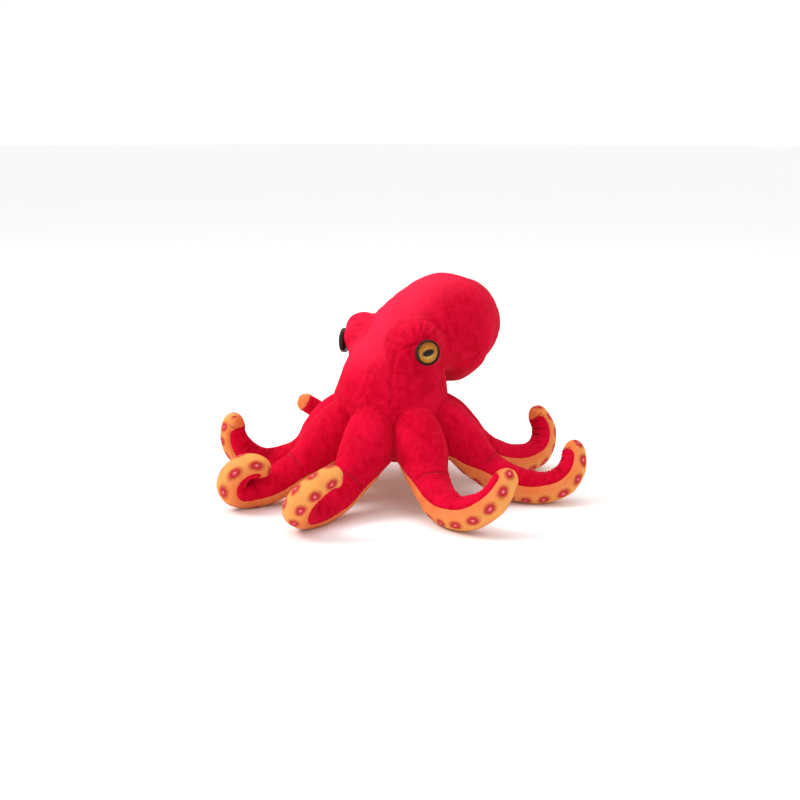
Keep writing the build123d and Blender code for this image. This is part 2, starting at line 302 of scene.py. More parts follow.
# A spot from its edge to its middle: where it starts to show, where it is full, and its colour.
SPOT_LAYERS = ((0.0062, 0.0020, (0.48, 0.012, 0.030)), (0.0022, 0.0014, (0.66, 0.050, 0.095)),
               (0.0009, 0.0004, (0.86, 0.32, 0.28)))
PRINT_EDGE, PRINT_MIDDLE = (0.80, 0.185, 0.055), (0.88, 0.375, 0.095)
PRINT_CLOUD, PRINT_SPECK = (0.84, 0.30, 0.11), (0.46, 0.06, 0.02)
MIDDLE_FADE = 0.021, 0.004  # from the middle line: where its yellow starts, and is full

IRIS_DEEP, IRIS_AMBER, IRIS_RIM = (0.78, 0.27, 0.012), (1.0, 0.56, 0.065), (0.16, 0.05, 0.004)
# On the next line, the second colour is painted shade: the darker orange of the iris's upper half, under the
# cup's rim.
IRIS_INNER, IRIS_PAINTED_SHADE = (1.0, 0.72, 0.17), (0.86, 0.25, 0.008)
RIM_FADE, INNER_FADE = (0.0088, 0.0074), (0.0060, 0.0044)  # distances from the iris's middle
PAINTED_SHADE_FADE = -0.0035, 0.0055  # heights on the iris over which its darker orange upper half, painted shade, comes in
RAY_TURNS, RAY_RUN = 9.0, 260.0  # how fine the rays are round the iris, and along themselves
PUPIL_EDGE, PUPIL_DARK = (0.20, 0.07, 0.006), (0.008, 0.005, 0.003)
PUPIL_TILT, PUPIL_HALF_WIDE, PUPIL_HALF_HIGH = math.radians(14), 0.0040, 0.0021


def pile(shader):
    """Relief of short plush: single tufts, and strokes where a hand has brushed them."""
    tufts = shader.noise(1500.0, 3.0, 0.65)
    strokes = shader.noise(240.0, 2.0, 0.6, shader.stretched((1.0, 1.0, 0.55)), 0.5)
    shader.bump((strokes, 0.0004), (tufts, 0.0006))
    return tufts, strokes


def red_plush():
    """Red pile, brushed in strokes, with painted light: pinker where a mesh attribute marks the head's tops
    that face the key lamp.
    """
    shader = Shader("red_plush", Sheen_Weight=0.10, Sheen_Roughness=0.30, Sheen_Tint=(1.0, 0.22, 0.32, 1),
                    Specular_IOR_Level=0.02)
    tufts, strokes = pile(shader)
    brushed = shader.noise(34.0, 3.0, 0.55, distortion=0.8)
    base = shader.mix(shader.step(brushed, 0.36, 0.66), PLUSH_DEEP, PLUSH_RED)
    stroked = shader.times(shader.step(strokes, 0.32, 0.68), 0.45)
    base = shader.mix(stroked, base, PLUSH_STROKE)
    # Painted light: how much of that pink each point of the head gets, stored on the mesh.
    painted_light = shader.node("ShaderNodeAttribute", attribute_name="painted_light").outputs["Fac"]
    light = shader.times(painted_light, shader.math("MULTIPLY_ADD", strokes, 0.5, 0.6))
    base = shader.mix(light, base, PLUSH_PAINTED_LIGHT)
    speck = shader.times(shader.step(tufts, 0.62, 0.30), 0.40)
    shader.colour(shader.mix(speck, base, PLUSH_SPECK))
    shader.rough(shader.math("MULTIPLY_ADD", tufts, 0.3, 0.6))
    return shader.material


def sucker_distance(shader, along, across, shift, row):
    """How far a point is from the nearest spot of one row."""
    cell = shader.math("FRACT", shader.math("MULTIPLY_ADD", along, 1 / SPOT_PITCH, shift))
    from_spot = shader.times(shader.math("SUBTRACT", cell, 0.5), SPOT_PITCH)
    return shader.length(from_spot, shader.math("SUBTRACT", across, row))


def printed_plush():
    """Orange pile, yellower along its middle line, with two staggered rows of ringed sucker spots."""
    shader = Shader("printed_plush", Sheen_Weight=0.06, Sheen_Roughness=0.40, Sheen_Tint=(1.0, 0.70, 0.45, 1),
                    Specular_IOR_Level=0.03)
    tufts, _ = pile(shader)
    u, v = shader.printed()
    wander = shader.node("ShaderNodeTexNoise", {"Scale": 160.0, "Detail": 2.0, "Vector": shader.place()})
    drift = shader.node("ShaderNodeSeparateXYZ", {0: wander.outputs["Color"]})
    along = shader.math("ADD", u, shader.times(drift.outputs[0], SPOT_WANDER))
    strayed = shader.math("MULTIPLY_ADD", drift.outputs[1], SPOT_WANDER, -SPOT_WANDER / 2)
    across = shader.math("ADD", v, strayed)
    near = shader.math("MINIMUM", sucker_distance(shader, along, across, 0.0, SPOT_ROW),
                       sucker_distance(shader, along, across, 0.5, -SPOT_ROW))
    yellow = shader.step(shader.math("ABSOLUTE", across), *MIDDLE_FADE)
    cloud = shader.step(shader.noise(90.0, 2.0), 0.35, 0.65)
    base = shader.mix(yellow, PRINT_EDGE, PRINT_MIDDLE)
    base = shader.mix(shader.times(cloud, 0.4), base, PRINT_CLOUD)
    for shows, full, colour in SPOT_LAYERS:
        base = shader.mix(shader.step(near, shows, full), base, colour)
    speck = shader.times(shader.step(tufts, 0.60, 0.32), 0.25)
    shader.colour(shader.mix(speck, base, PRINT_SPECK))
    shader.rough(shader.math("MULTIPLY_ADD", tufts, 0.3, 0.6))
    return shader.material


def thread():
    """Twisted red sewing thread."""
    shader = Shader("red_thread", Roughness=0.6, Specular_IOR_Level=0.15)
    twist = shader.noise(3500.0, 1.0, vector=shader.stretched((1.0, 0.4, 1.0)))
    shader.colour(shader.mix(twist, (0.52, 0.004, 0.022), (0.80, 0.045, 0.095)))
    shader.bump((twist, 0.00008))
    return shader.material


def eye_plastic():
    """Dark plastic, polished, with faint smears."""
    shader = Shader("eye_plastic", Roughness=0.16, Specular_IOR_Level=0.16)
    smear = shader.noise(220.0, 3.0)
    shader.colour(shader.mix(smear, (0.012, 0.008, 0.006), (0.03, 0.02, 0.014)))
    shader.rough(shader.math("MULTIPLY_ADD", smear, 0.14, 0.10))
    return shader.material


def washer_plastic():
    """Plain pale moulded plastic."""
    shader = Shader("washer_plastic", Roughness=0.5)
    cloud = shader.noise(400.0, 2.0)
    shader.colour(shader.mix(cloud, (0.72, 0.72, 0.70), (0.85, 0.85, 0.83)))
    shader.bump((cloud, 0.00004))
    return shader.material


def iris_paint():
    """Amber with fine rays, with painted shade of the cup's rim over its upper half in darker orange, a dark
    rim and a dark oval pupil, under the lens.
    """
    shader = Shader("iris_paint", Roughness=0.6, Specular_IOR_Level=0.05)
    x, y = shader.printed()
    radius = shader.length(x, y)
    angle = shader.math("ARCTAN2", y, x)
    ray_place = shader.node("ShaderNodeCombineXYZ", {
        0: shader.times(shader.math("SINE", angle), RAY_TURNS),
        1: shader.times(shader.math("COSINE", angle), RAY_TURNS),
        2: shader.times(radius, RAY_RUN)})
    rays = shader.noise(2.2, 4.0, 0.7, ray_place.outputs[0], 0.4)
    base = shader.mix(shader.step(rays, 0.34, 0.66), IRIS_DEEP, IRIS_AMBER)
    base = shader.mix(shader.step(radius, *RIM_FADE), IRIS_RIM, base)
    base = shader.mix(shader.times(shader.step(radius, *INNER_FADE), 0.35), base, IRIS_INNER)
    # Painted shade: the cup rim's shade painted on the upper half in darker orange.
    base = shader.mix(shader.times(shader.step(y, *PAINTED_SHADE_FADE), 0.75), base, IRIS_PAINTED_SHADE)
    cos, sin = math.cos(PUPIL_TILT), math.sin(PUPIL_TILT)
    turned_x = shader.math("ADD", shader.times(x, cos), shader.times(y, sin))
    turned_y = shader.math("SUBTRACT", shader.times(y, cos), shader.times(x, sin))
    oval = shader.length(shader.math("DIVIDE", turned_x, PUPIL_HALF_WIDE),
                         shader.math("DIVIDE", turned_y, PUPIL_HALF_HIGH))
    base = shader.mix(shader.step(oval, 1.5, 1.15), base, PUPIL_EDGE)
    shader.colour(shader.mix(shader.step(oval, 1.08, 0.92), base, PUPIL_DARK))
    shader.bump((rays, 0.00004))
    return shader.material


def lens_acrylic():
    """Clear acrylic with a breath of amber."""
    shader = Shader("lens_acrylic", Roughness=0.015, IOR=1.28, Transmission_Weight=1.0)
    cloud = shader.noise(300.0, 1.0)
    shader.colour(shader.mix(cloud, (1.0, 0.98, 0.94), (1.0, 0.99, 0.97)))
    return shader.material


RED, PRINT, THREAD = red_plush(), printed_plush(), thread()
CUP, WASHER, IRIS, LENS = eye_plastic(), washer_plastic(), iris_paint(), lens_acrylic()


# ---- an arm's line ----
SHOULDER_PITCHES, SHOULDER_HALVINGS = (-80.0, -5.0), 24  # the search for an arm's first pitch


def trace(name, shoulder):
    """An arm's middle line, stepped from its root: (distance, point, along, side, up) at each step."""
    azimuth, arcs = ARMS[name]
    out = np.array([math.cos(math.radians(azimuth)), math.sin(math.radians(azimuth)), 0.0])
    side = np.cross((0, 0, 1.0), out)
    along = turn(out, side, -math.radians(ROOT_PITCH))
    up = np.cross(along, side)
    point = out * ROOT_RADIUS + (0, 0, ROOT_HEIGHT)
    travelled, rows = 0.0, [(0.0, point, along, side, up)]
    for length, pitch, yaw, roll in arcs:
        pitch = shoulder if pitch is None else pitch
        steps = round(length / STEP)
        for _ in range(steps):
            for half in (0, 1):
                spin = np.radians(along * roll + up * yaw - side * pitch) / steps / 2
                angle = np.linalg.norm(spin)
                along, side, up = (turn(v, spin / angle, angle) for v in (along, side, up))
                if half == 0:
                    point = point + along * (length / steps)
            travelled += length / steps
            rows.append((travelled, point, along, side, up))
    return rows


def girth(at, length):
    """Half width and half height of an arm's outside, rounded off at its tip."""
    wide = np.interp(at, ARM_GIRTH[:, 0], ARM_GIRTH[:, 1])
    tall = np.interp(at, ARM_GIRTH[:, 0], ARM_GIRTH[:, 2])
    into = np.clip((at - (length - TIP_ROUND)) / TIP_ROUND, 0, 1)
    shrink = np.sqrt(np.maximum(1 - into * into, 1e-4))
    return wide * shrink, tall * shrink


def rested(name):
    """The arm's line with its shoulder bent so that the underside just presses the floor."""
    lowest, highest = SHOULDER_PITCHES
    for _ in range(SHOULDER_HALVINGS):
        middle = (lowest + highest) / 2
        rows = trace(name, middle)
        if min(row[1][2] - girth(row[0], rows[-1][0])[1] for row in rows) < -TOUCH:
            lowest = middle
        else:
            highest = middle
    return trace(name, (lowest + highest) / 2)


# ---- an arm's skin ----
# Lengths in mm and angles in degrees. Distances run along an arm from its root.
FILLING_HEIGHT, FILLING_LENGTH = 0.42, 24  # soft unevenness of the filling
DIMPLE_HEIGHT, DIMPLE_LENGTH = 0.13, 8
PLEATS = 1.7  # depth of the gathers where an arm curls tightly
PLEAT_CURL = 0.4, 2.2  # curl, in degrees a mm, where pleats start and are full
NO_PITCH_CURL = -1.5  # curl taken for the stretch that rested() bends
SEAM_DEPTH, SEAM_WIDTH, SEAM_STITCH = 0.95, 1.5, 3.3  # side seams
CROSS_DEPTH, CROSS_WIDTH, CROSS_GATHER = 1.25, 1.3, 4.4  # cross seam, and its gathers round the arm
CROSS_COVER = 0.12, 0.4  # share of the back where the cross seam starts, and is full
BACK_CLOSING, BACK_SHORT = 19.0, 6.0  # the red panel closes between these distances from the tip
ROOT_BOXY, ROOT_SPREAD = 1.5, 0.18  # an arm's root fills the room that the model's tubes keep clear
ROOT_RISE = 6.5  # how far an arm's top climbs the body at its root
ROOT_WRAP, WRAP_END = 42.0, 56.0  # the red panel reaches this much further round at the root
FLOOR_SKIN, FLOOR_GIVE = 0.25, 0.1  # skin that touches the floor stops just above it
SHOULDER_START = -12.0  # where the skin starts, inside the body
ROW, COLUMNS = 0.95, 44  # between rows of the mesh, and columns on each panel
RED_TIP_ROWS, PRINT_TIP_ROWS = 21, 29  # rows over the closing end of each panel
ROOT_BEND, SEAM_BEND = (-7.0, 14.0), (CROSS_SEAM, CROSS_SEAM + 13.0)  # where the skin bends


class Arm:
    """One arm: its line, its gathers and the surface that they make."""

    def __init__(self, name, seed):
        self.name, self.seed = name, seed
        rows = rested(name)
        self.at = np.array([row[0] for row in rows])
        self.frames = [np.array([row[i] for row in rows]) for i in range(1, 5)]
        self.length = self.at[-1]
        curls = [[pitch / length if pitch else NO_PITCH_CURL] * round(length / STEP)
                 for length, pitch, *_ in ARMS[name][1]]
        curls = np.concatenate(curls)
        self.bend = np.convolve(np.append(curls, curls[-1]), np.ones(5) / 5, "same")
        self.creases = self.make_creases(np.random.default_rng(seed))

    def station(self, at):
        """Middle points and frames at distances along the arm; before its root it runs straight back."""
        held = np.maximum(at, 0)
        found = []
        for values in self.frames:
            found.append(np.stack([np.interp(held, self.at, values[:, i]) for i in range(3)], -1))
        found[0] = found[0] + found[1] * np.minimum(at, 0)[..., None]
        return [found[0]] + [unit(values) for values in found[1:]]

    def make_creases(self, rng):
        """Gathers across the hollow of the curl: (distance, angle, reach, lean, depth)."""
        creases, at = [], CROSS_SEAM + 5
        while at < self.length - 8:
            tight = smooth(np.interp(at, self.at, self.bend), *PLEAT_CURL)
            creases.append((at, rng.uniform(50, 130), rng.uniform(48, 85), rng.uniform(-1.6, 1.6),
                            (0.15 + PLEATS * tight) * rng.uniform(0.55, 1.15)))
            at += rng.uniform(2.9, 4.6)
        return creases

    def back_half(self, at):
        """Half the angle that the red panel covers: all the back, closing bluntly near the tip."""
        into = np.clip((at - (self.length - BACK_CLOSING)) / (BACK_CLOSING - BACK_SHORT), 0, 1)
        wrap = ROOT_WRAP * (1 - smooth(at, 4, WRAP_END))
        return (90 + wrap) * np.sqrt(np.maximum(1 - into ** 5, 0))

    def relief(self, at, angle, to_seam, skin):
        """Height over the arm's plain shape: filling, gathers, side seams and cross seam."""
        relief = FILLING_HEIGHT * lumps(skin, FILLING_LENGTH, self.seed)
        dimples = np.stack([at, angle / 5, at * 0.3], -1)
        relief = relief + DIMPLE_HEIGHT * lumps(dimples, DIMPLE_LENGTH, self.seed + 50)
        back = np.cos(np.radians(angle - 90))
        for start, centre, reach, lean, depth in self.creases:
            window = np.clip(np.cos(np.radians(np.clip((angle - centre) / reach, -1, 1) * 90)), 0, 1)
            window = window * smooth(back, -0.05, 0.35)
            off = at - start - lean * np.radians(angle - 90)
            relief = relief + depth * window * (0.30 * bell(off, 2.4) - 0.95 * bell(off, 0.85))
        closed = 1 - smooth(at, self.length - BACK_SHORT, self.length - BACK_SHORT + 2.5)
        pucker = 1 + 0.22 * np.sin(at * 2 * math.pi / SEAM_STITCH + self.seed)
        relief = relief - SEAM_DEPTH * bell(to_seam, SEAM_WIDTH) * closed * pucker
        cross = smooth(back, *CROSS_COVER)
        off = np.abs(at - CROSS_SEAM)
        relief = relief - cross * (CROSS_DEPTH * bell(off, CROSS_WIDTH) - 0.35 * bell(off - 3, 1.8))
        wide, tall = girth(at, self.length)
        around = angle / 360 * 2 * math.pi * np.maximum((wide + tall) / 2, 3.0)
        return relief + cross * 0.20 * np.sin(around * 2 * math.pi / CROSS_GATHER) * bell(off - 2.2, 2.0)

    def surface(self, at, angle, to_seam):
        """Points at distances along and angles round, to_seam mm from the side seams; 90 is the back."""
        middle, _, side, up = self.station(at)
        wide, tall = girth(at, self.length)
        a = np.radians(angle)
        cos, sin = np.cos(a), np.sin(a)
        relief = self.relief(at, angle, to_seam, middle + (side * cos[..., None] + up * sin[..., None]) * 12)
        relief = relief * np.minimum(1, np.maximum(wide, 0.2) / 6)
        boxy = np.where(sin < 0, ROOT_BOXY * (1 - smooth(at, 14, 58)), 0.6 * (1 - smooth(at, 2, 32)))
        boxy = 2 / (2 + boxy)
        spread = 1 + (1 - smooth(at, 14, 46)) * (0.06 + ROOT_SPREAD * smooth(-sin, -0.6, 0.5))
        x = (wide * spread + relief) * np.sign(cos) * np.abs(cos) ** boxy
        y = (tall + relief) * np.sign(sin) * np.abs(sin) ** boxy
        y = y + ROOT_RISE * bell(at + 4, 13) * np.maximum(sin, 0) ** 1.4
        points = middle + side * x[..., None] + up * y[..., None]
        height = points[..., 2]
        pressed = FLOOR_SKIN - FLOOR_GIVE * np.tanh(FLOOR_SKIN - height)
        points[..., 2] = np.where(height < FLOOR_SKIN, pressed, height)
        return points

    def uv(self, at, angle):
        """Places on the print, in metres: along the arm, and round it from the middle of its underside."""
        wide, tall = girth(np.minimum(at, self.length - TIP_ROUND), self.length)
        return np.stack([at * MM, np.radians(angle - 270) * (wide + tall) / 2 * MM], -1)


def eased(count):
    """Shares from 0 to 1, closer together near both ends, where the seams are."""
    t = np.linspace(0, 1, count)
    return t - 0.11 * np.sin(2 * math.pi * t)


def arm_grid(arm, red):
    """Distances, angles and distances to the seam over one panel of an arm, and its cross seam's row."""
    near_end = arm.length - BACK_CLOSING
    first = np.arange(SHOULDER_START, CROSS_SEAM, ROW)
    second = np.linspace(CROSS_SEAM, near_end, round((near_end - CROSS_SEAM) / ROW))
    if red:
        share = np.linspace(0, 1, RED_TIP_ROWS + 1)[1:]
        end = near_end + (BACK_CLOSING - BACK_SHORT) * (1 - (1 - share) ** 2)
    else:
        share = np.linspace(0, 1, PRINT_TIP_ROWS + 1)[1:]
        end = near_end + BACK_CLOSING * np.sin(share * math.pi / 2)
    rows = np.concatenate([first, second, end])
    at, t = np.meshgrid(rows, eased(COLUMNS + 1), indexing="ij")
    half = arm.back_half(at)
    angle = 90 - half + 2 * half * t if red else 90 + half + t * (360 - 2 * half)
    to_seam = np.minimum(np.abs(angle - (90 - half)), np.abs(angle - (90 + half)))
    to_seam = np.minimum(to_seam, np.abs(angle - (450 - half)))
    wide, tall = girth(at, arm.length)
    return at, angle, np.radians(to_seam) * ((wide + tall) / 2), len(first)


def arm_panel(arm, red):
    """One panel of an arm, as two pieces that meet at the cross seam."""
    at, angle, to_seam, split = arm_grid(arm, red)
    points, uv = arm.surface(at, angle, to_seam), arm.uv(at, angle)
    normals = -surface_normals(points, False)
    panel, slot, material = ("back", "red_plush", RED) if red else ("underside", "printed_plush", PRINT)
    for tube, rows in (("upper", slice(0, split + 1)), ("lower", slice(split, None))):
        name = f"arm_{arm.name}_{tube}_{panel}"
        mesh = grid_mesh(name + "_skin", points[rows], uv[rows], normals=normals[rows], flip=True)
        piece = new_object(name + "_skin", mesh, material)
        bend_arm(piece, arm, tube)
        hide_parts(name, *([f"arm_{arm.name}_{tube}_filling"] if red else []))


def bend_arm(piece, arm, tube):
    """Bakes the piece's place into its mesh. The arm's tube, its joint's bodies and the stretch where it
    bends are found but not used.
    """
    upper, lower = f"arm_{arm.name}_upper", f"arm_{arm.name}_lower"
    stretch, bodies = (ROOT_BEND, ("body", upper)) if tube == "upper" else (SEAM_BEND, (upper, lower))
    points = arm.station(np.array(stretch))[0]
    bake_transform(piece)


# ---- stitches ----
THREAD_SIDES, THREAD_STEPS = 6, 7
THREAD_RADIUS, FACE_THREAD_RADIUS = 0.28, 0.22  # mm
CROSS_STITCHES, CROSS_STITCH_ANGLES = 15, (32, 148)
CROSS_STITCH_HALF, CROSS_STITCH_LEAN = 1.15, 0.8  # mm to each side of the seam, degrees


def stitches(name, starts, ends, radius):
    """Short threads from each start to each end (mm), as one mesh of small tubes."""
    verts, faces = [], []
    for start, end in zip(starts, ends):
        run = unit(end - start)
        side = unit(np.cross(run, (0.3, 0.2, 1.0)))
        lift = np.cross(side, run)
        first = len(verts)
        for i in range(THREAD_STEPS):
            t = i / (THREAD_STEPS - 1)
            thick = radius * math.sqrt(max(1 - (2 * t - 1) ** 4, 0.05))
            middle = start + (end - start) * t
            for k in range(THREAD_SIDES):
                a = 2 * math.pi * k / THREAD_SIDES
                verts.append(middle + side * thick * math.cos(a) + lift * thick * math.sin(a))
        last = first + (THREAD_STEPS - 1) * THREAD_SIDES
        faces += [tuple(first + v for v in face) for face in grid_faces(THREAD_STEPS, THREAD_SIDES, True)]
        faces.append(tuple(first + k for k in range(THREAD_SIDES))[::-1])
        faces.append(tuple(last + k for k in range(THREAD_SIDES)))
    mesh = bpy.data.meshes.new(name)
    mesh.from_pydata(place(np.array(verts)).tolist(), [], faces)
    mesh.validate()
    return new_object(name, mesh, THREAD)


def cross_stitches(arm):
    """Threads that close the cross seam over the arm's back."""
    angles = np.linspace(*CROSS_STITCH_ANGLES, CROSS_STITCHES)
    far = np.full_like(angles, 99.0)  # away from the side seams
    lean = CROSS_STITCH_LEAN * np.sin(np.arange(CROSS_STITCHES) * 1.7)
    starts = arm.surface(np.full_like(angles, CROSS_SEAM - CROSS_STITCH_HALF), angles + lean, far)
    ends = arm.surface(np.full_like(angles, CROSS_SEAM + CROSS_STITCH_HALF), angles - lean, far)
    piece = stitches(f"arm_{arm.name}_cross_stitches", starts, ends, THREAD_RADIUS)
    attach(piece, f"arm_{arm.name}_upper")


# ---- places round an eye ----
PATCH_TURN, PATCH_TIP = 43.0, 12.0
PATCH_START = -34, -26  # mm ahead of the eye: where its side of the head starts, and is full
BROW_MIDDLE, BROW_RADIUS, BROW_DEPTH = (-6.6, 2.6), 26.5, 1.5  # across and up from the eye, mm
LID_MIDDLE, LID_RADIUS, LID_DEPTH = (-5.0, 19.0), 34.0, 1.0
DART_START, DART_END, DART_DEPTH = (-22.0, 1.8), (-8.5, 7.0), 1.8
GATHER_DEPTH, SEAT_DEPTH = 0.95, 0.9


def eye_frame(sign):
    """The directions in which an eye looks and stands up."""
    look = np.array([sign * math.sin(math.radians(EYE_TURN)), -math.cos(math.radians(EYE_TURN)), 0.0])
    return look, np.array([0, 0, 1.0])


def patch_frame(sign):
    """Out of, across (towards the back) and up the patch round an eye."""
    turned, tipped = math.radians(PATCH_TURN), math.radians(PATCH_TIP)
    flat = np.array([sign * math.sin(turned), -math.cos(turned), 0.0])
    out = flat * math.cos(tipped) + np.array([0, 0, math.sin(tipped)])
    across = np.array([sign * math.cos(turned), math.sin(turned), 0.0])
    up = np.array([0, 0, math.cos(tipped)]) - flat * math.sin(tipped)
    return out, across, up


def on_patch(points, sign):
    """Which points are on an eye's side of the head, and their places across and up its patch."""
    out, across, up = patch_frame(sign)
    off = points - EYE * (sign, 1, 1)
    return smooth(off @ out, *PATCH_START), off @ across, off @ up


def from_eye(points, sign):
    """How far points lie ahead of an eye's seat, and from the line in which it looks."""
    look = eye_frame(sign)[0]
    off = points - EYE * (sign, 1, 1)
    ahead = off @ look
    return ahead, np.linalg.norm(off - ahead[..., None] * look, axis=-1)


# ---- head ----
HEAD_ROW, HEAD_COLUMNS, TIP_ROWS = 0.9, 360, 39
HEAD_LUMPS = (0.55, 34, 3), (0.20, 13, 4)  # unevenness of the filling: height, length, seed
FACE_SEAM, BACK_SEAM, GUSSET_SEAM, CROWN_SEAM = 0.75, 0.6, 0.8, 0.45  # depths, mm
FACE_SEAM_END = 110, 117  # height over which the face's seams fade out
BACK_SEAM_END, GUSSET_START = (22, 30), (24, 34)  # how far back, mm
CROWN_HEIGHT, CROWN_SCALLOP = 82.5, 2.4
GUSSET_BACK, GUSSET_HALF = (20, 48, 74, 98, 115, 127), (52, 66, 75, 79, 81, 82)  # mm, half its angle
MOUND_BLEND, MOUND_REACH, MOUND_STEP = 7.0, 26, 0.2
SEAT_RADIUS, SEAT_HEIGHT, SEAT_SLOPE, SEAT_END = 10.0, -0.3, 1.3, 16
# The head's painted light comes from this way, towards the key lamp.
PAINTED_LIGHT_WAY = unit(np.array((-0.45, -0.40, 0.80)))
PATCH_PAINTED_SHADE = ((1, 0.85), (-1, 0.20))  # each patch's side, and how much of the painted light is taken off inside it, as painted shade
# Where the face's stitches are, one in how many rows, and half of what each spans, mm.
FACE_STITCH_HEIGHTS, FACE_STITCH_ROWS, FACE_STITCH_HALF = (82, 113), 3, 0.75


def head_rows():
    """Rings from the belly to the back of the mantle, close together, as (y, z, lean, wide, deep)."""
    knots = rings_along(HEAD_RINGS)[:, 0]
    fine = np.linspace(0, knots[-1], round(knots[-1] / HEAD_ROW))
    rings = np.stack([spline(fine, knots, HEAD_RINGS[:, i]) for i in range(5)], -1)
    y, z, lean, wide, deep = HEAD_RINGS[-1]
    share = np.sin(np.linspace(0, math.pi / 2, TIP_ROWS + 1)[1:])
    turned = math.radians(lean)
    reach = MANTLE_END * share
    round_off = np.maximum(1 - share ** 1.45, 0.0004) ** 0.66
    end = np.stack([y + reach * math.sin(turned), z + reach * math.cos(turned), np.full_like(share, lean),
                    wide * round_off, deep * round_off], -1)
    return np.concatenate([rings, end])


def head_base():
    """The head without mounds and relief: its points, their angles round it, and its rings."""
    rings = head_rows()
    angle = np.arange(HEAD_COLUMNS) * 360 / HEAD_COLUMNS
    a = np.radians(angle)[None, :]
    y, z, lean, wide, deep = (rings[:, i][:, None] for i in range(5))
    turned = np.radians(lean)
    points = np.stack([wide * np.cos(a), y + deep * np.sin(a) * np.cos(turned),
                       z - deep * np.sin(a) * np.sin(turned)], -1)
    return points, np.broadcast_to(angle, points.shape[:2]), rings


def with_mounds(points, normals):
    """The head pushed out, smoothly, over the balls of the eye mounds."""
    pushed = points.copy()
    for sign in (1, -1):
        centre = MOUND * (sign, 1, 1)
        out = np.zeros(points.shape[:2])
        done = np.zeros(points.shape[:2], bool)
        for step in np.arange(0, MOUND_REACH, MOUND_STEP):
            trial = points + normals * step
            ball = np.linalg.norm(trial - centre, axis=-1) - MOUND_RADIUS
            share = np.clip(0.5 + 0.5 * (ball - step) / MOUND_BLEND, 0, 1)
            union = ball * (1 - share) + step * share - MOUND_BLEND * share * (1 - share)
            done |= union > 0
            out = np.where(done, out, step)
        pushed = pushed + normals * out[..., None]
    return pushed


def eased_grid(points, rounds):
    """The grid's points relaxed between their neighbours, ends held."""
    for _ in range(rounds):
        inner = (points[:-2] + points[2:] + np.roll(points, 1, 1)[1:-1] + np.roll(points, -1, 1)[1:-1]) / 4
        points[1:-1] = points[1:-1] * 0.5 + inner * 0.5
    return points


def face_half(rings):
    """Half the face panel's angle on each ring; its seams stand upright though the rings lean back."""
    radius = (rings[..., 3] + rings[..., 4]) / 2
    back = rings[..., 0] * math.sin(math.radians(FACE_HALF_ANGLE))
    return FACE_HALF_ANGLE - np.degrees(back / radius)


def rings_along(rings):
    """How far each ring is along the head, as a column."""
    steps = np.concatenate([[0], np.cumsum(np.hypot(*np.diff(rings[:, :2], axis=0).T))])
    return steps[:, None]


def seam_groove(away, along, depth):
    """A sewn seam: a narrow valley between two soft rolls, drawn in a little at each stitch."""
    pucker = 1 + 0.30 * np.sin(along * 2 * math.pi / 3.4)
    return depth * (bell(away, 1.25) * pucker - 0.28 * bell(np.abs(away) - 3.0, 1.8))


def head_relief(points, angle, rings):
    """Seams, gathers and the filling's lumps on the head, in mm along its normals."""
    relief = sum(height * lumps(points, length, seed) for height, length, seed in HEAD_LUMPS)
    radius = (rings[:, 3] + rings[:, 4])[:, None] / 2
    along = rings_along(rings)
    far_back, height = rings[:, :1], rings[:, 1:2]
    for side in (-1, 1):
        away = np.radians(angle - 270 - side * face_half(rings)[:, None]) * radius
        relief = relief - (1 - smooth(height, *FACE_SEAM_END)) * seam_groove(away, along, FACE_SEAM)
    off_back = np.abs((angle - 90 + 180) % 360 - 180)
    back = np.radians(off_back) * radius
    relief = relief - (1 - smooth(far_back, *BACK_SEAM_END)) * seam_groove(back, along, BACK_SEAM)
    gusset = np.radians(off_back - np.interp(far_back, GUSSET_BACK, GUSSET_HALF)) * radius
    relief = relief - smooth(far_back, *GUSSET_START) * seam_groove(gusset, along, GUSSET_SEAM)
    crown = points[..., 2] - (CROWN_HEIGHT + CROWN_SCALLOP * np.cos(np.radians((angle - 22.5) * 8)))
    relief = relief - seam_groove(crown, angle * 0.8, CROWN_SEAM)
    for sign in (1, -1):
        relief = relief + mound_relief(points, sign)
    return relief


def mound_relief(points, sign):
    """The brow seam over an eye, the gathers under it, the lower lid's crease, the dart and the seat."""
    facing, u, v = on_patch(points, sign)
    reach = np.hypot(u - BROW_MIDDLE[0], v - BROW_MIDDLE[1]) - BROW_RADIUS
    around = np.degrees(np.arctan2(v - BROW_MIDDLE[1], u - BROW_MIDDLE[0]))
    above = smooth(around, 18, 42) * (1 - smooth(around, 172, 180))
    brow = facing * above * (bell(reach, 1.4) - 0.45 * bell(reach - 3.6, 2.4))
    fans = np.sin(np.radians(around) * 21) + 0.5 * np.sin(np.radians(around) * 34 + 1)
    gathers = GATHER_DEPTH * facing * above * np.sign(fans) * np.abs(fans) ** 1.4 * bell(reach + 7.5, 5.5)
    lid = np.hypot(u - LID_MIDDLE[0], v - LID_MIDDLE[1]) - LID_RADIUS
    lid = facing * bell(lid, 1.6) * (v < 0) * bell(u - LID_MIDDLE[0], 16)
    along, away = from_dart(u, v)
    dart = facing * (bell(away, 1.0) - 0.25 * bell(away - 2.4, 1.4)) * smooth(along, 0.0, 0.35)
    ahead, ring = from_eye(points, sign)
    seat = SEAT_DEPTH * bell(ring - 12.0, 2.2) * (ahead > -9)
    return gathers - BROW_DEPTH * brow - LID_DEPTH * lid - DART_DEPTH * dart - seat


def from_dart(u, v):
    """Shares along the dart of the places nearest to points on the patch, and their distances from it."""
    run = DART_END[0] - DART_START[0], DART_END[1] - DART_START[1]
    along = (u - DART_START[0]) * run[0] + (v - DART_START[1]) * run[1]
    along = np.clip(along / math.dist(DART_START, DART_END) ** 2, 0, 1)
    return along, np.hypot(u - DART_START[0] - along * run[0], v - DART_START[1] - along * run[1])


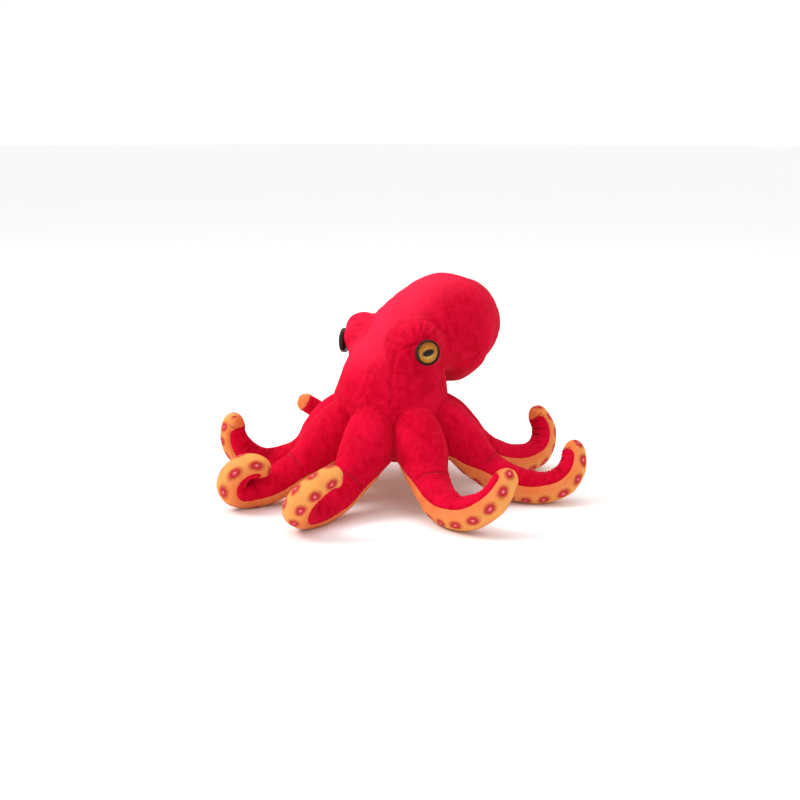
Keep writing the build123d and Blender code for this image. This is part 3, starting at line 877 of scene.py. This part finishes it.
def painted_light_on_head(points, normals):
    """Painted light on the head: how much pinker its pile is painted on top and in front, where it faces the
    key lamp; inside the eyes' patches some is taken off again as painted shade.
    """
    light = smooth(normals @ PAINTED_LIGHT_WAY, 0.20, 0.95) * smooth(points[..., 2], 100, 128)
    # Painted shade: inside each eye's patch the painted light is taken off, most on the near eye.
    for sign, painted_shade in PATCH_PAINTED_SHADE:
        facing, u, v = on_patch(points, sign)
        reach = np.hypot(u - BROW_MIDDLE[0], v - BROW_MIDDLE[1])
        inside = facing * (1 - smooth(reach, BROW_RADIUS - 1, BROW_RADIUS + 1))
        light = light * (1 - painted_shade * inside)
    return light


def seat_eyes(points):
    """Plush near an eye kept behind the cup's seat, so that the cup stands on it."""
    for sign in (1, -1):
        ahead, ring = from_eye(points, sign)
        allowed = SEAT_HEIGHT + np.maximum(ring - SEAT_RADIUS, 0) * SEAT_SLOPE
        over = np.where((ring < SEAT_END) & (ahead > allowed), ahead - allowed, 0)
        points = points - eye_frame(sign)[0] * over[..., None]
    return points


def make_head():
    """The body and the mantle in one continuous skin, from the belly to the mantle's end."""
    base, angle, rings = head_base()
    normals = surface_normals(base, True)
    points = eased_grid(with_mounds(base, normals), 4)
    fresh = surface_normals(points, True)
    normals = unit(fresh * np.sign((fresh * normals).sum(-1, keepdims=True)))
    relief = head_relief(points, angle, rings)
    fade = np.minimum(1, rings[:, 3] / 10)[:, None]
    points = seat_eyes(points + normals * (relief * fade)[..., None])
    uv = np.stack([np.broadcast_to(rings_along(rings), angle.shape) * MM, angle * MM], -1)
    mesh = grid_mesh("head_skin", points, uv, closed=True)
    # Painted light for red_plush: the pinker colour of the head's tops that face the key lamp.
    painted_light = mesh.attributes.new("painted_light", "FLOAT", "POINT")
    painted_light.data.foreach_set("value", painted_light_on_head(points, normals).astype(np.float32).ravel())
    piece = new_object("head_skin", mesh, RED)
    direct_outward(piece)
    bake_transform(piece)
    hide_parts("face_panel", "side_panels", "mantle_panel", "mantle_gusset", "eye_mounds",
                "body_filling", "mantle_filling")
    return points, angle, rings


def face_stitches(points, angle, rings):
    """Threads along the two upright seams of the face panel."""
    starts, ends = [], []
    radius = (rings[:, 3] + rings[:, 4]) / 2
    lowest, highest = FACE_STITCH_HEIGHTS
    for half in (-face_half(rings), face_half(rings)):
        for row in range(0, len(rings), FACE_STITCH_ROWS):
            if not lowest < rings[row, 1] < highest:
                continue
            wide = np.degrees(FACE_STITCH_HALF / radius[row])
            at = [np.argmin(np.abs(angle[row] - 270 - half[row] - side * wide)) for side in (-1, 1)]
            starts.append(points[row, at[0]])
            ends.append(points[row, at[1]])
    piece = stitches("face_stitches", starts, ends, FACE_THREAD_RADIUS)
    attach(piece, "body")


# ---- belly ----
BELLY_RINGS, BELLY_COLUMNS = 34, 128
BELLY_RADIUS, BELLY_HEIGHT, BELLY_SAG = 38.9, 34.2, 3.2  # mm
BELLY_LUMPS, BELLY_LIP = 0.35, 0.8  # heights of its unevenness and of its edge


def make_belly():
    """The printed panel between the arms, which sags a little and meets the body all round."""
    share = np.linspace(0.004, 1, BELLY_RINGS)[:, None]
    a = np.linspace(0, 2 * math.pi, BELLY_COLUMNS, endpoint=False)[None, :]
    radius = BELLY_RADIUS * share
    x, y = radius * np.cos(a), radius * np.sin(a)
    uneven = BELLY_LUMPS * lumps(np.stack([x, y, np.zeros_like(x)], -1), 18, 9)
    z = BELLY_HEIGHT - BELLY_SAG * (1 - share ** 2) + uneven * (1 - share ** 6) + BELLY_LIP * share ** 12
    points = np.stack([x, y, z], -1)
    uv = np.stack([x * MM, y * MM], -1)
    mesh = grid_mesh("belly_skin", points, uv, closed=True)
    piece = new_object("belly_skin", mesh, PRINT)
    direct_outward(piece)
    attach(piece, "body")
    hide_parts("belly_panel")


# ---- eyes ----
EYE_SIDES = 96
PIN = 0.02  # mm: the radius where a profile starts and a dish ends
LIP_AT, LIP_RADIUS = (10.12, 3.0), 0.48  # the cup's lip, as (from its middle, ahead), mm
FOOT_AT, FOOT_RADIUS = (9.9, 0.5), 0.7  # the rounded edge of the cup's foot
GLASS_RADIUS, DOME_RISE, DOME_FOOT = 9.58, 3.9, 2.45  # the glass fills the cup: 0.28 wider than the model's


def eye_matrix(sign):
    """From an eye's own frame, which looks along +Z from its seat, to the model's."""
    look, up = eye_frame(sign)
    columns = np.cross(up, look), up, look, place(EYE * (sign, 1, 1))
    matrix = Matrix.Identity(4)
    for row in range(3):
        for column in range(4):
            matrix[row][column] = columns[column][row]
    return matrix


def turned_piece(name, profile, sign, material):
    """A turned piece: profile is (radius, height) in mm, from its foot outward round to its middle."""
    rows = np.array(profile, float)
    a = np.arange(EYE_SIDES) * 2 * math.pi / EYE_SIDES
    heights = np.broadcast_to(rows[:, 1:], (len(rows), EYE_SIDES))
    points = np.stack([rows[:, :1] * np.cos(a), rows[:, :1] * np.sin(a), heights], -1)
    mesh = bpy.data.meshes.new(name)
    mesh.from_pydata((points * MM).reshape(-1, 3).tolist(), [], grid_faces(len(rows), EYE_SIDES, True))
    map_print(mesh, points[..., :2] * MM)
    mesh.validate()
    mesh.transform(eye_matrix(sign))
    piece = new_object(name, mesh, material)
    direct_outward(piece)
    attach(piece, "body")
    return piece


def arc(middle, radius, start, end, count):
    """Points on a circle, angles in degrees."""
    return [(middle[0] + radius * math.cos(math.radians(t)), middle[1] + radius * math.sin(math.radians(t)))
            for t in np.linspace(start, end, count)]


def cup_profile():
    """A shallow dish with a rounded foot and a rolled lip. Its post is only in the model."""
    foot = arc(FOOT_AT, FOOT_RADIUS, -90, 0, 7)
    lip = arc(LIP_AT, LIP_RADIUS, 0, 180, 13)
    return [(PIN, -0.2), (9.6, -0.2)] + foot + [(10.62, 1.6)] + lip + [(9.64, 2.2), (9.6, 1.2), (PIN, 1.1)]


def iris_profile():
    """A shallow bowl that lies in the cup."""
    return [(GLASS_RADIUS, 2.35), (8.4, 2.0), (6.0, 1.55), (3.0, 1.3), (PIN, 1.25)]


def lens_profile():
    """A back just over the iris, and a domed front."""
    ball = (GLASS_RADIUS ** 2 + DOME_RISE ** 2) / (2 * DOME_RISE)
    middle = DOME_FOOT + DOME_RISE - ball
    dome = [(GLASS_RADIUS * t, middle + math.sqrt(ball ** 2 - (GLASS_RADIUS * t) ** 2))
            for t in np.cos(np.linspace(0, math.pi / 2, 26)).clip(0.002)]
    return [(PIN, 1.42), (3.0, 1.46), (6.0, 1.7), (8.4, 2.15), (GLASS_RADIUS, 2.42)] + dome


def make_eye(sign, side):
    """The cup, the iris and the lens of one eye."""
    cup_piece = turned_piece(f"eye_cup_{side}", cup_profile(), sign, CUP)
    iris_piece = turned_piece(f"eye_iris_{side}", iris_profile(), sign, IRIS)
    lens_piece = turned_piece(f"eye_lens_{side}", lens_profile(), sign, LENS)
    lens_piece.visible_shadow = lens_piece.visible_diffuse = False  # clear, so the iris is lit through it
    for piece, node in ((cup_piece, "eye_cups"), (iris_piece, "eye_irises"), (lens_piece, "eye_lenses")):
        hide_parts(node)


# ---- the toy ----
FIRST_SEED = 11


def make_toy():
    """All the pieces. The washers keep the model's shape and get their plastic."""
    for seed, name in enumerate(ARMS, FIRST_SEED):
        arm = Arm(name, seed)
        arm_panel(arm, True)
        arm_panel(arm, False)
        cross_stitches(arm)
    face_stitches(*make_head())
    make_belly()
    for sign, side in ((1, "left"), (-1, "right")):
        make_eye(sign, side)
    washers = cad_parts["eye_washers"]
    washers.data.materials.clear()
    washers.data.materials.append(WASHER)


# ---- stage, in metres ----
CAMERA_AT, CAMERA_PITCH, CAMERA_TURN = (0.7075, -0.7622, 0.300), 12.0, 42.5  # from the body's axis
CAMERA_LENS, CAMERA_SENSOR = 56.16, 36.0
FLOOR_HALF = 30.0
LAMPS = (("key", (-0.85, -0.85, 1.25), 0.8, 16.0), ("top", (-0.10, 0.20, 1.6), 1.2, 6.0))  # at, size, watts
LAMP_AIM = Vector((0, 0, 0.08))


def stage():
    """The camera, the pale floor, the white world and the lamps."""
    camera = bpy.data.objects.new("camera", bpy.data.cameras.new("camera"))
    bpy.context.scene.collection.objects.link(camera)
    camera.location = Vector(CAMERA_AT) + Vector(AXIS)
    camera.rotation_euler = (math.radians(90 - CAMERA_PITCH), 0, math.radians(CAMERA_TURN))
    camera.data.lens, camera.data.sensor_width = CAMERA_LENS, CAMERA_SENSOR
    bpy.context.scene.camera = camera
    floor = bpy.data.objects.new("floor", bpy.data.meshes.new("floor"))
    bpy.context.scene.collection.objects.link(floor)
    corners = [(x * FLOOR_HALF, y * FLOOR_HALF, 0) for x, y in ((-1, -1), (1, -1), (1, 1), (-1, 1))]
    floor.data.from_pydata(corners, [], [(0, 1, 2, 3)])
    ground = Shader("floor_paper", Roughness=0.7)
    ground.colour(ground.mix(ground.noise(3.0, 2.0), (0.93, 0.93, 0.93), (0.95, 0.95, 0.95)))
    floor.data.materials.append(ground.material)
    world = bpy.data.worlds.new("studio")
    bpy.context.scene.world = world
    world.use_nodes = True
    background = world.node_tree.nodes["Background"]
    background.inputs["Color"].default_value = (1.0, 1.0, 1.0, 1)
    background.inputs["Strength"].default_value = 1.0
    bpy.context.scene.view_settings.view_transform = "Standard"
    for lamp_values in LAMPS:
        lamp(*lamp_values)


def lamp(name, at, size, power):
    """A round soft lamp that shines at the toy."""
    data = bpy.data.lights.new(name, "AREA")
    data.shape, data.size, data.energy = "DISK", size, power
    made = bpy.data.objects.new(name, data)
    bpy.context.scene.collection.objects.link(made)
    made.location = Vector(at)
    made.rotation_euler = (LAMP_AIM - Vector(at)).to_track_quat("-Z", "Y").to_euler()


stage()
make_toy()
